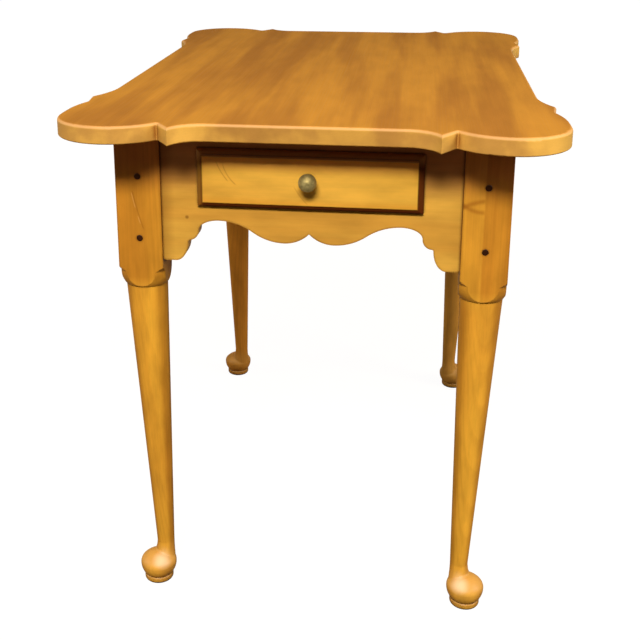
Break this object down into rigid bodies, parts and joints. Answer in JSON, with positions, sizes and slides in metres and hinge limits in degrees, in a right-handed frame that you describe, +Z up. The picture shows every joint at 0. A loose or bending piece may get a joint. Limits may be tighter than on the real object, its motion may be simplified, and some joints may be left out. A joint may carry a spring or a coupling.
{
  "type": "tavern table",
  "caption": "Small varnished pine tavern table with a lobed-corner top, shaped aprons, offset-turned legs on pad feet, and a lipped drawer with a brass knob that slides out of the front.",
  "frame": {"origin": "on the floor, under the middle of the top", "axes": "+X to the right as seen from the drawer side, +Y away from the drawer front, +Z up"},
  "size_m": [0.611, 0.893, 0.686],
  "materials": {
    "top_pine": "varnished satin",
    "leg_pine": "varnished satin",
    "apron_pine": "varnished satin",
    "drawer_front_pine": "varnished satin",
    "bare_pine": "planed, unfinished",
    "peg_oak": "stained",
    "knob_brass": "antique, satin",
    "steel": "plain"
  },
  "bodies": {
    "frame": {"top_board_left_edge": "top_pine", "top_board_left_inner": "top_pine", "top_board_centre": "top_pine", "top_board_right_inner": "top_pine", "top_board_right_edge": "top_pine", "front_left_leg": "leg_pine", "front_right_leg": "leg_pine", "rear_left_leg": "leg_pine", "rear_right_leg": "leg_pine", "front_apron": "apron_pine", "rear_apron": "apron_pine", "left_apron": "apron_pine", "right_apron": "apron_pine", "front_pegs": "peg_oak", "rear_pegs": "peg_oak", "left_pegs": "peg_oak", "right_pegs": "peg_oak", "left_runner": "bare_pine", "right_runner": "bare_pine", "left_drawer_guide": "bare_pine", "right_drawer_guide": "bare_pine", "drawer_kicker": "bare_pine", "left_top_cleat": "bare_pine", "right_top_cleat": "bare_pine", "cleat_to_top_screws": "steel", "cleat_to_apron_screws": "steel", "kicker_screws": "steel", "guide_nails": "steel"},
    "drawer": {"drawer_front": "drawer_front_pine", "left_drawer_side": "bare_pine", "right_drawer_side": "bare_pine", "drawer_back": "bare_pine", "drawer_bottom": "bare_pine", "drawer_back_nails": "steel", "drawer_bottom_nails": "steel", "knob": "knob_brass", "knob_screw": "steel", "knob_washer": "steel"}
  },
  "joints": [
    {"name": "drawer_slide", "type": "slide", "parent": "frame", "child": "drawer", "axis": [0, -1, 0], "range_m": [0, 0.4]}
  ]
}
